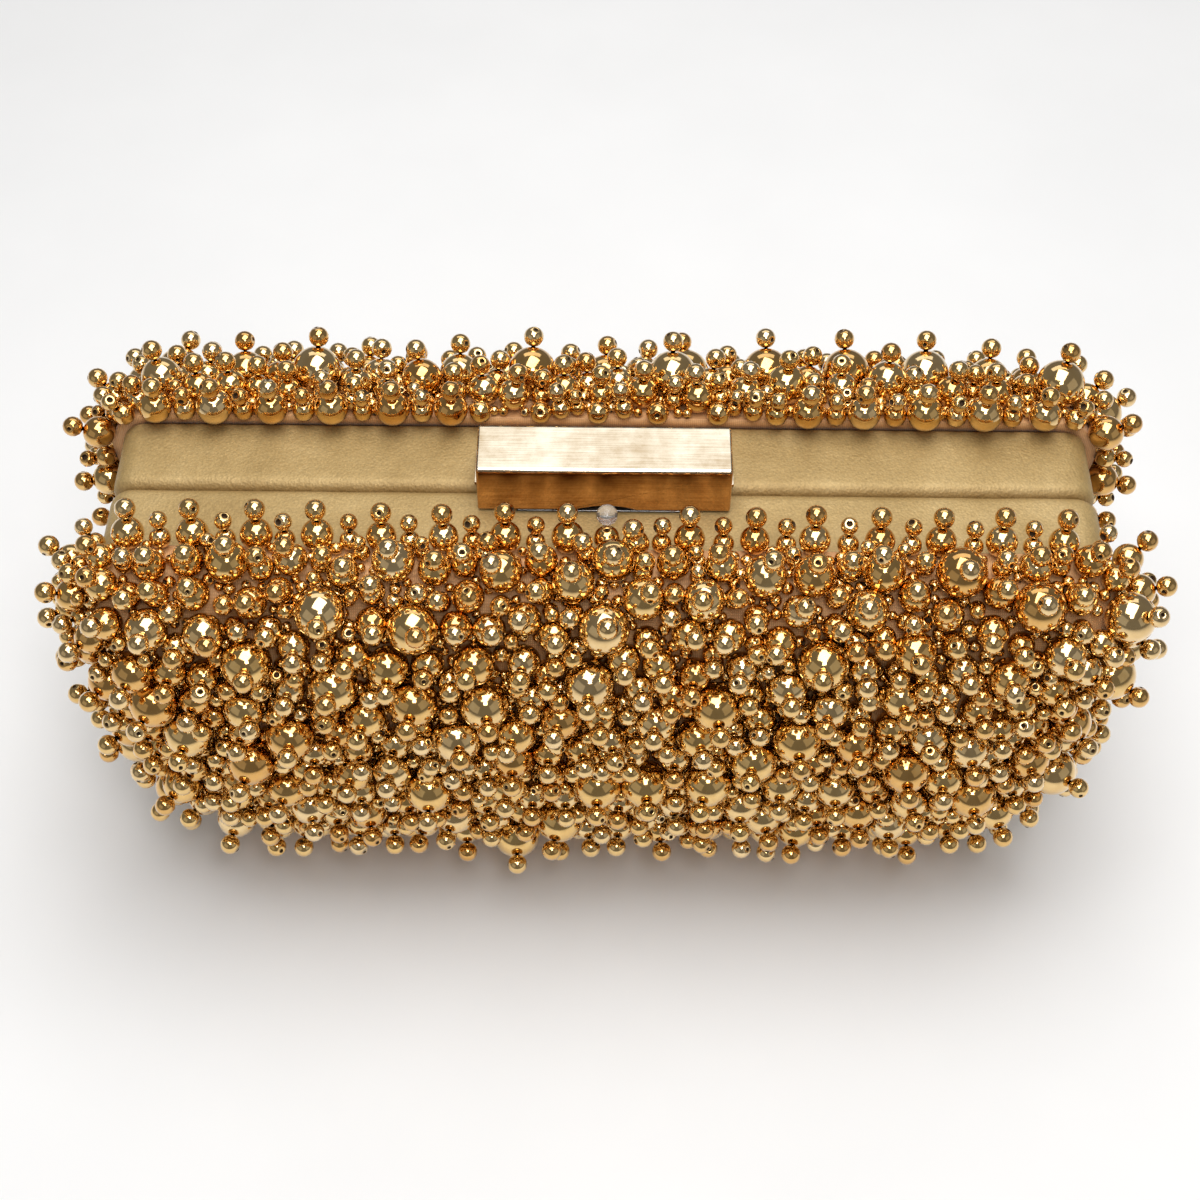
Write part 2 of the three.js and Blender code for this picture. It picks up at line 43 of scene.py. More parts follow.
# ---- dimensions shared with the CAD model ----
HEIGHT = 92  # rim, base to top
TOP_HALF = 100  # half the rim's length at its top
BASE_HALF = 86  # and at its base
TOP_CORNER = 5
BASE_CORNER = 24
RIM_DEPTH = 17.5  # seam plane to the rim's outer edge
RIM_WALL = 5
LEATHER = 1  # thicknesses
FABRIC = 0.6
BOARD = 2
FLANGE = 2
LINING = 0.8
SEAM_ROUND = 2.5  # radius of the leather's fold at the seam
BACK_ROUND = 1.2  # and at the rim's outer edge
SEAM_GAP = 0.2  # from the seam plane to each rim
GAP = 0.3  # between neighbouring pieces
STEP = 3.5  # how far the shell stands proud of the rim at the ends
RISE = 2  # and along the top
SHELL_BASE = 14  # height of the shell's underside
SHELL_TOP_CORNER = 10
SHELL_BASE_CORNER = 34
SHELL_EDGE = RIM_DEPTH + GAP
SHOULDER = 16  # radius between the shell's edge and its face
CROWN = 3  # how far the face swells out
CROWN_INSET = 18  # from the shoulder to the flat middle
LINING_INSET = 7.2
LEAST_CORNER = 0.8
LEAN = (TOP_HALF - BASE_HALF) / HEIGHT
LEAN_ANGLE = math.atan(LEAN)

FRONT, BACK = -1, 1  # the side of the seam plane that each half lies on
HALVES = {"front": FRONT, "back": BACK}


# ---- outlines in the X-Z plane ----
class Outline:
    """A rounded trapezoid whose ends lean out like the rim's."""

    BASE_STEPS = 16
    TOP_STEPS = 8
    END_STEPS = 16
    LONG_STEPS = 60

    def __init__(self, top, base, grow, top_corner, base_corner):
        self.top = top
        self.base = base
        self.grow = grow
        self.top_corner = top_corner
        self.base_corner = base_corner

    def arc(self, inset, corner, upper, start, stop, steps):
        radius = max(corner - inset, LEAST_CORNER)
        z = self.top - inset - radius if upper else self.base + inset + radius
        end = BASE_HALF + z * LEAN + (self.grow - inset) / math.cos(LEAN_ANGLE)
        x = end - radius / math.cos(LEAN_ANGLE)
        a = np.linspace(start, stop, steps + 1)
        return np.stack([x + radius * np.cos(a), z + radius * np.sin(a)], axis=1)

    def at(self, inset):
        """The closed outline moved inwards by inset, as points [x, z]."""
        low = self.arc(inset, self.base_corner, False, -math.pi / 2, -LEAN_ANGLE, self.BASE_STEPS)
        high = self.arc(inset, self.top_corner, True, -LEAN_ANGLE, math.pi / 2, self.TOP_STEPS)
        right = np.concatenate([low, between(low[-1], high[0], self.END_STEPS), high])
        left = right[::-1] * [-1, 1]
        over = between(right[-1], left[0], self.LONG_STEPS)
        under = between(left[-1], right[0], self.LONG_STEPS)
        return np.concatenate([right, over, left, under])


def between(a, b, steps):
    """The points that divide a to b into equal steps, without the two ends."""
    t = np.linspace(0, 1, steps + 1)[1:-1, None]
    return a + (b - a) * t


RIM = Outline(HEIGHT, 0, 0, TOP_CORNER, BASE_CORNER)
SHELL = Outline(HEIGHT + RISE, SHELL_BASE, STEP, SHELL_TOP_CORNER, SHELL_BASE_CORNER)
TRAY = Outline(
    HEIGHT - LINING_INSET,
    SHELL_BASE + FABRIC + BOARD + 3 * GAP,
    -LINING_INSET,
    LEAST_CORNER,
    SHELL_BASE_CORNER - FABRIC - BOARD,
)
COLLAR = Outline(
    HEIGHT - RIM_WALL - GAP,
    LINING_INSET,
    -RIM_WALL - GAP,
    LEAST_CORNER,
    BASE_CORNER - RIM_WALL,
)


def ring(shape, inset, depth):
    """An outline at a depth behind the seam plane, as points [x, depth, z]."""
    flat = shape.at(inset)
    return np.stack([flat[:, 0], np.full(len(flat), depth), flat[:, 1]], axis=1)


SHOULDER_STEPS = 14
CROWN_STEPS = 8


def bowl_rings(shape, edge, radius, out=0.0):
    """The rings of a bowl's skin, from its edge round the shoulder and over the crowned face."""
    rings = []
    r = radius + out
    for a in np.linspace(0, math.pi / 2, SHOULDER_STEPS + 1):
        rings.append(ring(shape, -out + r * (1 - math.cos(a)), edge + r * math.sin(a)))
    for t in np.linspace(0, 1, CROWN_STEPS + 1)[1:]:
        proud = CROWN * math.sin(t * math.pi / 2)
        rings.append(ring(shape, radius + CROWN_INSET * t, edge + r + proud))
    return rings


# ---- meshes ----
def loft(rings, closed=False):
    """Points and faces of the surface through rings of equal length. A closed loft runs from its
    last ring back to its first, and an open one has flat ends."""
    n = len(rings[0])
    faces = []
    spans = len(rings) if closed else len(rings) - 1
    for k in range(spans):
        a = k * n
        b = (k + 1) % len(rings) * n
        for i in range(n):
            j = (i + 1) % n
            faces.append((a + i, a + j, b + j, b + i))
    if not closed:
        faces.append(tuple(range(n))[::-1])
        faces.append(tuple(range((len(rings) - 1) * n, len(rings) * n)))
    return np.concatenate(rings), faces


def new_piece(name, points, faces, side=BACK):
    """A smooth-shaded object from points [x, depth, z] in millimetres on one side of the seam."""
    mesh = bpy.data.meshes.new(name)
    placed = np.asarray(points, float) * [MM, side * MM, MM]
    mesh.from_pydata(placed.tolist(), [], faces)
    face_outwards(mesh)
    mesh.shade_smooth()
    piece = bpy.data.objects.new(name, mesh)
    bpy.context.scene.collection.objects.link(piece)
    return piece


def face_outwards(mesh):
    """Turns the faces of a closed mesh outwards."""
    work = bmesh.new()
    work.from_mesh(mesh)
    bmesh.ops.recalc_face_normals(work, faces=work.faces)
    work.to_mesh(mesh)
    work.free()


def joined(*parts):
    """Several (points, faces) pairs as one."""
    points = []
    faces = []
    for more, rows in parts:
        start = sum(len(p) for p in points)
        points.append(more)
        faces += [tuple(start + i for i in row) for row in rows]
    return np.concatenate(points), faces


def block(x, y, z):
    """A cutting box between pairs of x, y and z, in millimetres."""
    made = bpy.data.meshes.new("block")
    work = bmesh.new()
    bmesh.ops.create_cube(work, size=1)
    for v in work.verts:
        picked = [pair[c > 0] for pair, c in zip((x, y, z), v.co)]
        v.co = Vector(picked) * MM
    work.to_mesh(made)
    work.free()
    tool = bpy.data.objects.new("block", made)
    bpy.context.scene.collection.objects.link(tool)
    return tool


def cut(piece, tool):
    """Takes the tool's space out of the piece, and removes the tool."""
    bpy.context.view_layer.update()
    modifier = piece.modifiers.new("cut", "BOOLEAN")
    modifier.operation = "DIFFERENCE"
    modifier.solver = "EXACT"
    modifier.object = tool
    apply_modifiers(piece)
    bpy.data.objects.remove(tool)


def apply_modifiers(piece):
    """Makes the modifiers' result the piece's own mesh."""
    graph = bpy.context.evaluated_depsgraph_get()
    made = bpy.data.meshes.new_from_object(piece.evaluated_get(graph))
    piece.modifiers.clear()
    piece.data = made


def ripple(piece, height, size, seed):
    """Moves each point along its normal by smooth noise of a height and wavelength in mm, but not
    below the floor."""
    offset = Vector((seed * 7.3, seed * 3.1, seed * 5.7))
    moved = [
        v.co + v.normal * (height * MM * noise.noise(v.co / (size * MM) + offset))
        for v in piece.data.vertices
    ]
    moved = np.array(moved, np.float32)
    moved[:, 2] = np.maximum(moved[:, 2], 0)
    piece.data.vertices.foreach_set("co", moved.ravel())
    piece.data.update()


def mark(piece, name, value):
    """Stores a number for each point, which a material reads as an attribute."""
    layer = piece.data.attributes.new(name, "FLOAT", "POINT")
    layer.data.foreach_set("value", np.asarray(value, np.float32))


def points_of(piece):
    """The piece's points, in millimetres."""
    co = np.zeros(len(piece.data.vertices) * 3, np.float32)
    piece.data.vertices.foreach_get("co", co)
    return co.reshape(-1, 3) / MM


def move_points(piece, co):
    """Puts the piece's points at new places, in millimetres."""
    piece.data.vertices.foreach_set("co", (co * MM).astype(np.float32).ravel())
    piece.data.update()


# ---- material nodes ----
def node(tree, kind, inputs=None, **settings):
    """A node with its settings, and its inputs set to values or linked to other sockets."""
    made = tree.nodes.new(kind)
    for key, value in settings.items():
        setattr(made, key, value)
    for key, value in (inputs or {}).items():
        if isinstance(value, bpy.types.NodeSocket):
            tree.links.new(value, made.inputs[key])
        else:
            made.inputs[key].default_value = value
    return made


def new_material(name, **values):
    """A material, its node tree and its shader, with values set on the shader's own sockets."""
    made = bpy.data.materials.new(name)
    made.use_nodes = True
    tree = made.node_tree
    shader = tree.nodes["Principled BSDF"]
    for key, value in values.items():
        shader.inputs[key.replace("_", " ")].default_value = value
    return made, tree, shader


def position(tree, stretch=(1, 1, 1), turn=(0, 0, 0)):
    """The point on the object, stretched and turned, for a texture."""
    point = node(tree, "ShaderNodeTexCoord").outputs["Object"]
    inputs = {"Vector": point, "Scale": stretch, "Rotation": turn}
    return node(tree, "ShaderNodeMapping", inputs).outputs["Vector"]


def cloud(tree, size, detail=3.0, stretch=(1, 1, 1), roughness=0.5, turn=(0, 0, 0)):
    """Soft noise from 0 to 1 with features of a size in millimetres."""
    inputs = {
        "Vector": position(tree, stretch, turn),
        "Scale": 1 / (size * MM),
        "Detail": detail,
        "Roughness": roughness,
    }
    return node(tree, "ShaderNodeTexNoise", inputs).outputs["Fac"]


def cells(tree, size):
    """The distance from the middle of rounded cells of a size in millimetres."""
    inputs = {"Vector": position(tree), "Scale": 1 / (size * MM)}
    return node(tree, "ShaderNodeTexVoronoi", inputs).outputs["Distance"]


def threads(tree, pitch, direction):
    """Parallel threads with a pitch in millimetres, across the X, Y or Z direction. The wave
    texture turns through 20 radians in each unit of scaled length."""
    scale = math.pi / 10 / (pitch * MM)
    inputs = {"Vector": position(tree), "Scale": scale, "Distortion": 0.4}
    settings = {"wave_type": "BANDS", "bands_direction": direction}
    return node(tree, "ShaderNodeTexWave", inputs, **settings).outputs["Fac"]


def ramp(tree, value, *stops):
    """Colours over a value, from (value, colour) stops."""
    made = node(tree, "ShaderNodeValToRGB", {"Fac": value})
    points = made.color_ramp.elements
    while len(points) < len(stops):
        points.new(0.5)
    for point, (at, colour) in zip(points, stops):
        point.position = at
        point.color = (*colour, 1)
    return made.outputs["Color"]


def blend(tree, share, a, b, kind="MIX"):
    """Colour a mixed with colour b by a share."""
    made = node(tree, "ShaderNodeMix", data_type="RGBA", blend_type=kind)
    for socket, value in ((made.inputs[0], share), (made.inputs[6], a), (made.inputs[7], b)):
        if isinstance(value, bpy.types.NodeSocket):
            tree.links.new(value, socket)
        else:
            socket.default_value = value if isinstance(value, float) else (*value, 1)
    return made.outputs[2]


def between_values(tree, value, low, high):
    """A value from 0 to 1 mapped to low to high."""
    inputs = {"Value": value, "To Min": low, "To Max": high}
    return node(tree, "ShaderNodeMapRange", inputs).outputs["Result"]


def maths(tree, operation, a, b):
    """Two values or sockets added, multiplied and so on."""
    made = node(tree, "ShaderNodeMath", operation=operation)
    for socket, value in zip(made.inputs, (a, b)):
        if isinstance(value, bpy.types.NodeSocket):
            tree.links.new(value, socket)
        else:
            socket.default_value = value
    return made.outputs[0]


def attribute(tree, name):
    """The number that mark or bead_mesh stored under a name."""
    return node(tree, "ShaderNodeAttribute", attribute_name=name).outputs["Fac"]


def bump(tree, height, depth, strength=1.0, under=None):
    """A normal from a height map, with a depth in millimetres."""
    inputs = {"Height": height, "Distance": depth * MM, "Strength": strength}
    if under is not None:
        inputs["Normal"] = under
    return node(tree, "ShaderNodeBump", inputs).outputs["Normal"]


def use(tree, shader, **sockets):
    """Links sockets to the shader's inputs."""
    for key, value in sockets.items():
        tree.links.new(value, shader.inputs[key.replace("_", " ")])


# ---- materials ----
def plated_gold():
    """Bright gold plating on moulded beads: every bead its own tone, with faint pitting."""
    made, tree, shader = new_material(
        "plated_gold", Metallic=1.0, Coat_Weight=0.8, Coat_Roughness=0.04, Coat_IOR=1.5
    )
    tone = ramp(
        tree,
        attribute(tree, "tone"),
        (0.0, (0.74, 0.41, 0.11)),
        (0.5, (0.83, 0.55, 0.20)),
        (1.0, (0.87, 0.64, 0.33)),
    )
    patch = ramp(tree, cloud(tree, 2.2), (0.35, (1, 1, 1)), (0.75, (0.86, 0.80, 0.70)))
    colour = blend(tree, 1.0, tone, patch, "MULTIPLY")
    rough = between_values(tree, cloud(tree, 1.1, 4), 0.04, 0.15)
    dimples = bump(tree, cloud(tree, 0.5, 2), 0.012, 0.6)
    use(tree, shader, Base_Color=colour, Roughness=rough, Normal=dimples)
    return made


def bore_shade_and_thread():
    """The mouth of a bead's bore, which stops short: a painted shade for the bore's depth, with
    its twisted thread inside.
    """
    made, tree, shader = new_material("bore_shade_and_thread", Roughness=0.8)
    twist = cloud(tree, 0.12, 2)
    # painted shade: near black for the depth of the bore, with the thread's twist in it
    colour = ramp(tree, twist, (0.3, (0.03, 0.012, 0.004)), (0.8, (0.14, 0.07, 0.02)))
    use(tree, shader, Base_Color=colour, Normal=bump(tree, twist, 0.05))
    return made


def clear_plastic():
    """The one bead without plating."""
    made, tree, shader = new_material("clear_plastic", IOR=1.49, Transmission_Weight=0.85)
    haze = cloud(tree, 1.2)
    colour = ramp(tree, haze, (0.3, (0.86, 0.84, 0.80)), (0.8, (0.98, 0.97, 0.95)))
    use(tree, shader, Base_Color=colour, Roughness=between_values(tree, haze, 0.08, 0.3))
    return made


def gold_leather():
    """Pale gold leather: fine pores, soft mottling, and a painted shade, browner along the seam
    and the rim's outer edge.
    """
    made, tree, shader = new_material("gold_leather", Metallic=0.30, Specular_IOR_Level=0.45)
    mottle = ramp(
        tree,
        cloud(tree, 16, 5, roughness=0.62),
        (0.28, (0.37, 0.245, 0.090)),
        (0.50, (0.45, 0.310, 0.125)),
        (0.74, (0.53, 0.380, 0.170)),
    )
    edge = attribute(tree, "edge")
    # painted shade along the leather's two edges, broken up by noise
    edge_shade = maths(tree, "MULTIPLY", edge, between_values(tree, cloud(tree, 5, 4), 0.35, 1.0))
    colour = blend(tree, edge_shade, mottle, (0.24, 0.125, 0.030))
    speckle = between_values(tree, cloud(tree, 0.55, 4, roughness=0.7), 0.55, 1.40)
    colour = blend(tree, 1.0, colour, speckle, "MULTIPLY")
    pores = maths(tree, "ADD", cells(tree, 0.55), cloud(tree, 0.9, 3))
    soft = bump(tree, cloud(tree, 7, 3), 0.25, 0.5)
    grain = bump(tree, pores, 0.10, 0.7, soft)
    rough = between_values(tree, cloud(tree, 3, 4), 0.42, 0.62)
    use(tree, shader, Base_Color=colour, Roughness=rough, Normal=grain)
    return made


def woven(name, pitch, dark, light, depth, contrast, **values):
    """A plain weave of two crossing sets of threads, with clouds of lighter and darker dye."""
    made, tree, shader = new_material(name, **values)
    warp = threads(tree, pitch, "X")
    weft = threads(tree, pitch, "Z")
    weave = maths(tree, "MULTIPLY", warp, weft)
    shade = maths(tree, "ADD", maths(tree, "MULTIPLY", weave, contrast), cloud(tree, 6, 4))
    colour = ramp(tree, shade, (0.3, dark), (1.0, light))
    use(tree, shader, Base_Color=colour, Normal=bump(tree, weave, depth, 0.8))
    use(tree, shader, Roughness=between_values(tree, cloud(tree, 1.5), 0.5, 0.75))
    return made


def silk():
    """Tan silk with an open weave."""
    return woven(
        "silk",
        pitch=0.4,
        dark=(0.56, 0.275, 0.110),
        light=(0.88, 0.510, 0.225),
        depth=0.05,
        contrast=0.6,
        Sheen_Weight=0.25,
    )


def satin():
    """Pale satin whose threads hardly show."""
    return woven(
        "satin",
        pitch=0.25,
        dark=(0.55, 0.42, 0.24),
        light=(0.84, 0.72, 0.50),
        depth=0.004,
        contrast=0.15,
        Sheen_Weight=0.4,
        Anisotropic=0.5,
        Specular_IOR_Level=0.7,
    )


def metal(name, dark, light, rough, brush, mark_depth):
    """A brushed metal: fine lines along X, cloudy tarnish and a few deeper scratches. The width
    of the brushed lines and the depth of the marks are in millimetres."""
    made, tree, shader = new_material(name, Metallic=1.0)
    tarnish = cloud(tree, 9, 5, roughness=0.65)
    lines = cloud(tree, brush, 3, stretch=(0.02, 1, 1))
    scratches = cloud(tree, 2.2, 2, stretch=(0.05, 1, 1.4), turn=(0.2, 0.1, 0.35))
    sharp = ramp(tree, scratches, (0.62, (0, 0, 0)), (0.66, (1, 1, 1)), (0.70, (0, 0, 0)))
    brushed_share = maths(tree, "MULTIPLY", lines, 0.35)
    tarnished_share = maths(tree, "MULTIPLY", tarnish, 0.65)
    shade = maths(tree, "ADD", brushed_share, tarnished_share)
    colour = ramp(tree, shade, (0.32, dark), (0.62, light))
    colour = blend(tree, maths(tree, "MULTIPLY", sharp, 0.35), colour, dark)
    brushed = bump(tree, lines, mark_depth, 0.5)
    scratched = bump(tree, sharp, mark_depth, 0.4, brushed)
    low, high = rough
    use(tree, shader, Base_Color=colour, Roughness=between_values(tree, shade, high, low))
    use(tree, shader, Normal=scratched)
    return made


def clasp_gold():
    """Gold plating with painted light: paler where it faces up, a painted highlight, and a deeper
    gold elsewhere, a painted shade.
    """
    made = metal(
        "clasp_gold",
        dark=(0.46, 0.32, 0.17),
        light=(0.96, 0.88, 0.72),
        rough=(0.03, 0.14),
        brush=0.25,
        mark_depth=0.003,
    )
    tree = made.node_tree
    shader = tree.nodes["Principled BSDF"]
    plating = shader.inputs["Base Color"].links[0].from_socket
    facing = node(tree, "ShaderNodeTexCoord").outputs["Normal"]
    upwards = node(tree, "ShaderNodeSeparateXYZ", {"Vector": facing}).outputs["Z"]
    # painted highlight and shade: the upward faces paler, the sides a deeper gold
    painted_top_light = ramp(tree, upwards, (0.35, (0.72, 0.45, 0.24)), (0.85, (1, 1, 1)))
    use(tree, shader, Base_Color=blend(tree, 1.0, plating, painted_top_light, "MULTIPLY"))
    return made


def brass():
    """Brass of the hinge, browner in its tarnish."""
    return metal(
        "brass",
        dark=(0.50, 0.32, 0.12),
        light=(0.86, 0.64, 0.30),
        rough=(0.22, 0.45),
        brush=0.3,
        mark_depth=0.02,
    )


def steel():
    """Steel of the pins, screws, spring and strike plate."""
    return metal(
        "steel",
        dark=(0.42, 0.42, 0.43),
        light=(0.72, 0.72, 0.73),
        rough=(0.2, 0.4),
        brush=0.25,
        mark_depth=0.015,
    )


def aluminium():
    """Aluminium of the rim cores, duller than the steel."""
    return metal(
        "aluminium",
        dark=(0.50, 0.51, 0.52),
        light=(0.78, 0.79, 0.80),
        rough=(0.35, 0.55),
        brush=0.4,
        mark_depth=0.03,
    )


def fibreboard():
    """Moulded shell of pressed fibre."""
    made, tree, shader = new_material("fibreboard")
    fibres = cloud(tree, 0.8, 5, stretch=(0.3, 1, 1), roughness=0.7)
    colour = ramp(tree, fibres, (0.3, (0.30, 0.20, 0.11)), (0.7, (0.55, 0.40, 0.24)))
    use(tree, shader, Base_Color=colour, Normal=bump(tree, fibres, 0.1))
    use(tree, shader, Roughness=between_values(tree, fibres, 0.75, 0.95))
    return made


def moulded_plastic():
    """Dark moulded insert with a fine spark-eroded texture."""
    made, tree, shader = new_material("moulded_plastic")
    texture = cloud(tree, 0.25, 3)
    colour = ramp(tree, texture, (0.3, (0.018, 0.016, 0.014)), (0.8, (0.05, 0.045, 0.04)))
    use(tree, shader, Base_Color=colour, Normal=bump(tree, texture, 0.03))
    use(tree, shader, Roughness=between_values(tree, cloud(tree, 2), 0.45, 0.65))
    return made


def floor_white():
    """Plain pale paper."""
    made, tree, shader = new_material("floor_white", Specular_IOR_Level=0.2)
    shade = cloud(tree, 60, 3)
    colour = ramp(tree, shade, (0.3, (0.92, 0.92, 0.92)), (0.7, (0.95, 0.95, 0.95)))
    use(tree, shader, Base_Color=colour, Roughness=between_values(tree, shade, 0.6, 0.7))
    return made


MATERIALS = {
    "beads": plated_gold(),
    "hole": bore_shade_and_thread(),
    "clear": clear_plastic(),
    "leather": gold_leather(),
    "silk": silk(),
    "satin": satin(),
    "clasp": clasp_gold(),
    "brass": brass(),
    "steel": steel(),
    "aluminium": aluminium(),
    "board": fibreboard(),
    "plastic": moulded_plastic(),
}


def place(piece, body, slot, material, *nodes):
    """Gives a new piece its body, its material slot and its looks, and hides the CAD nodes it
    covers. The slot argument is not used.
    """
    piece.data.materials.append(MATERIALS[material])
    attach(piece, body)
    if nodes:
        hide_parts(*nodes)
    return piece


# ---- leather rims ----
HINGE_HALF = 60
GROOVE = 2.4  # half the width of the hinge's groove across both rims
STRIKE_HALF = 17
STRIKE_DEPTH = (2.8, 5.8)
FOLD_STEPS = 6  # faces round each fold of the leather
FLAT_STEPS = 14  # and across its outside
RIPPLE = 0.10  # height of the leather's unevenness
RIPPLE_SIZE = 9
SEAM_SHADE = (1.6, 0.75)  # width and strength of the painted shade along the seam's edge
BACK_SHADE = (1.4, 0.55)  # and at the rim's outer edge
SWELL = 0.16  # how far the leather swells at the seam
SWELL_FROM = 14  # height at which it starts to
SWELL_OVER = 12  # and how much higher it is full


def rounded(inset, depth, r, start, stop):
    """An arc of the leather's section, as (inset, depth) points."""
    a = np.linspace(start, stop, FOLD_STEPS + 1)
    return list(zip(inset + r * np.cos(a), depth + r * np.sin(a)))


def leather_section():
    """The leather folded round the core, as (inset, depth) points."""
    depths = np.linspace(RIM_DEPTH - BACK_ROUND, SEAM_GAP + SEAM_ROUND, FLAT_STEPS)
    flat = [(0, depth) for depth in depths[1:-1]]
    inner = SEAM_GAP + LEATHER
    return [
        *rounded(BACK_ROUND, RIM_DEPTH - BACK_ROUND, BACK_ROUND, math.pi / 2, math.pi),
        *flat,
        *rounded(SEAM_ROUND, SEAM_GAP + SEAM_ROUND, SEAM_ROUND, math.pi, 3 * math.pi / 2),
        (RIM_WALL, SEAM_GAP),
        (RIM_WALL, RIM_DEPTH),
        (RIM_WALL - LEATHER, RIM_DEPTH),
        (RIM_WALL - LEATHER, inner),
        (2 * LEATHER, inner),
        (LEATHER, inner + LEATHER),
        (LEATHER, RIM_DEPTH - BACK_ROUND),
    ]


def leather_rim(half, side):
    """The leather band of one half, cut out for the hinge, and in front for the strike plate."""
    rings = [ring(RIM, inset, depth) for inset, depth in leather_section()]
    piece = new_piece(half + "_leather_cover", *loft(rings, closed=True), side)
    ripple(piece, RIPPLE, RIPPLE_SIZE, 1 + side)
    swell(piece)
    end = HINGE_HALF + 1
    cut(piece, block((-end, end), (-GROOVE, GROOVE), (-1, RIM_WALL + 1)))
    if side == FRONT:
        seat = STRIKE_HALF + GAP
        near, far = STRIKE_DEPTH
        bottom = HEIGHT - LEATHER - GAP / 2
        cut(piece, block((-seat, seat), (-far - GAP, GAP - near), (bottom, HEIGHT + 1)))
    mark_edge_shade(piece)
    place(piece, half + "_half", "gold_leather", "leather", half + "_rim_leather")


def mark_edge_shade(piece):
    """Marks the leather's two edges for painted shade."""
    depth = np.abs(points_of(piece)[:, 1])
    width, strength = SEAM_SHADE
    seam = strength * np.clip(1 - (depth - SEAM_GAP) / width, 0, 1)
    width, strength = BACK_SHADE
    back = strength * np.clip(1 - (RIM_DEPTH - depth) / width, 0, 1)
    mark(piece, "edge", np.maximum(seam, back))


def swell(piece):
    """The padded leather all but meets its partner at the seam, except beside the hinge."""
    co = points_of(piece)
    depth = np.abs(co[:, 1])
    near = np.clip(1 - (depth - SEAM_GAP) / SEAM_ROUND, 0, 1)
    share = near * np.clip((co[:, 2] - SWELL_FROM) / SWELL_OVER, 0, 1)
    co[:, 1] -= np.sign(co[:, 1]) * SWELL * share
    move_points(piece, co)


# ---- fabric and lining ----
SILK_FOLD = 3  # how far the silk is folded in behind the shell's edge
SILK_TUCK = 0.1  # its thickness there, where it is pulled tight
STRIP_GAP = 0.02  # between the flange and the silk on it
STRIP = 0.2  # the outside of that silk
STRIP_TUCK = 1.2  # how far it goes in under the shell


def fabric_cover(half, side):
    """Silk over the shell, folded in round its edge, and over the flange below it."""
    outside = bowl_rings(SHELL, SHELL_EDGE, SHOULDER)
    inside = bowl_rings(SHELL, SHELL_EDGE, SHOULDER, -FABRIC)
    edge = [
        ring(SHELL, FABRIC, SHELL_EDGE - SILK_TUCK / 2),
        ring(SHELL, SILK_FOLD, SHELL_EDGE - SILK_TUCK / 2),
        ring(SHELL, SILK_FOLD, SHELL_EDGE - 2 * SILK_TUCK),
        ring(SHELL, 0, SHELL_EDGE - 2 * SILK_TUCK),
    ]
    bowl = loft([*inside[::-1], *edge, *outside])
    piece = new_piece(half + "_silk_cover", *joined(bowl, flange_strip()), side)
    place(piece, half + "_half", "silk_fabric", "silk", half + "_fabric")


def flange_strip():
    """Silk over the part of the flange that shows along the base and round its corners."""
    face = SHELL_EDGE + FLANGE
    n = Outline.BASE_STEPS + 1
    rows = []
    for shape, inset, depth in (
        (RIM, GAP, face + STRIP_GAP),
        (RIM, GAP, face + STRIP),
        (SHELL, STRIP_TUCK, face + STRIP),
        (SHELL, STRIP_TUCK, face + STRIP_GAP),
    ):
        closed = ring(shape, inset, depth)
        low = np.concatenate([closed[-n - Outline.LONG_STEPS + 1 :], closed[:n]])
        rows.append(low)
    points = np.concatenate(rows)
    width = len(rows[0])
    sides = range(len(rows))
    faces = []
    for k in sides:
        a = k * width
        b = (k + 1) % len(rows) * width
        faces += [(a + i, a + i + 1, b + i + 1, b + i) for i in range(width - 1)]
    faces.append(tuple(k * width for k in sides))
    faces.append(tuple((k + 1) * width - 1 for k in reversed(sides)))
    return points, faces


COLLAR_DEPTH = 1.5  # from the seam plane to the lining's collar
WALL_STEPS = 12
PUCKER = 0.35  # height of the satin's gathers
PUCKER_WIDTH = 4.5
PUCKER_LENGTH = 26


def satin_lining(half, side):
    """The satin tray inside a shell, with a collar that covers the rim's inside."""
    radius = SHOULDER - FABRIC - BOARD - 3 * GAP
    outside = bowl_rings(TRAY, SHELL_EDGE, radius)
    inside = bowl_rings(TRAY, SHELL_EDGE, radius, -LINING)
    depths = np.linspace(SHELL_EDGE, COLLAR_DEPTH, WALL_STEPS)
    wall = [ring(TRAY, LINING, depth) for depth in depths[1:]]
    collar = [
        ring(COLLAR, 0, COLLAR_DEPTH),
        ring(COLLAR, 0, COLLAR_DEPTH + LINING),
        ring(TRAY, 0, COLLAR_DEPTH + LINING),
    ]
    rings = [*inside[::-1], *wall, *collar, *outside]
    piece = new_piece(half + "_satin_lining", *loft(rings), side)
    pucker(piece)
    place(piece, half + "_half", "lining_satin", "satin", half + "_lining")


def pucker(piece):
    """Small gathers where the satin is pasted down round the shoulder. They fade out near the
    collar and the flat face."""
    co = points_of(piece)
    depth = np.abs(co[:, 1])
    share = np.clip((depth - 4) / 8, 0, 1) * np.clip((34 - depth) / 10, 0, 1)
    normals = np.array([v.normal for v in piece.data.vertices])
    wave = [
        noise.noise(Vector((x / PUCKER_WIDTH, depth / PUCKER_LENGTH, z / PUCKER_WIDTH)))
        for x, depth, z in co.tolist()
    ]
    co += normals * (PUCKER * share * np.array(wave))[:, None]
    move_points(piece, co)


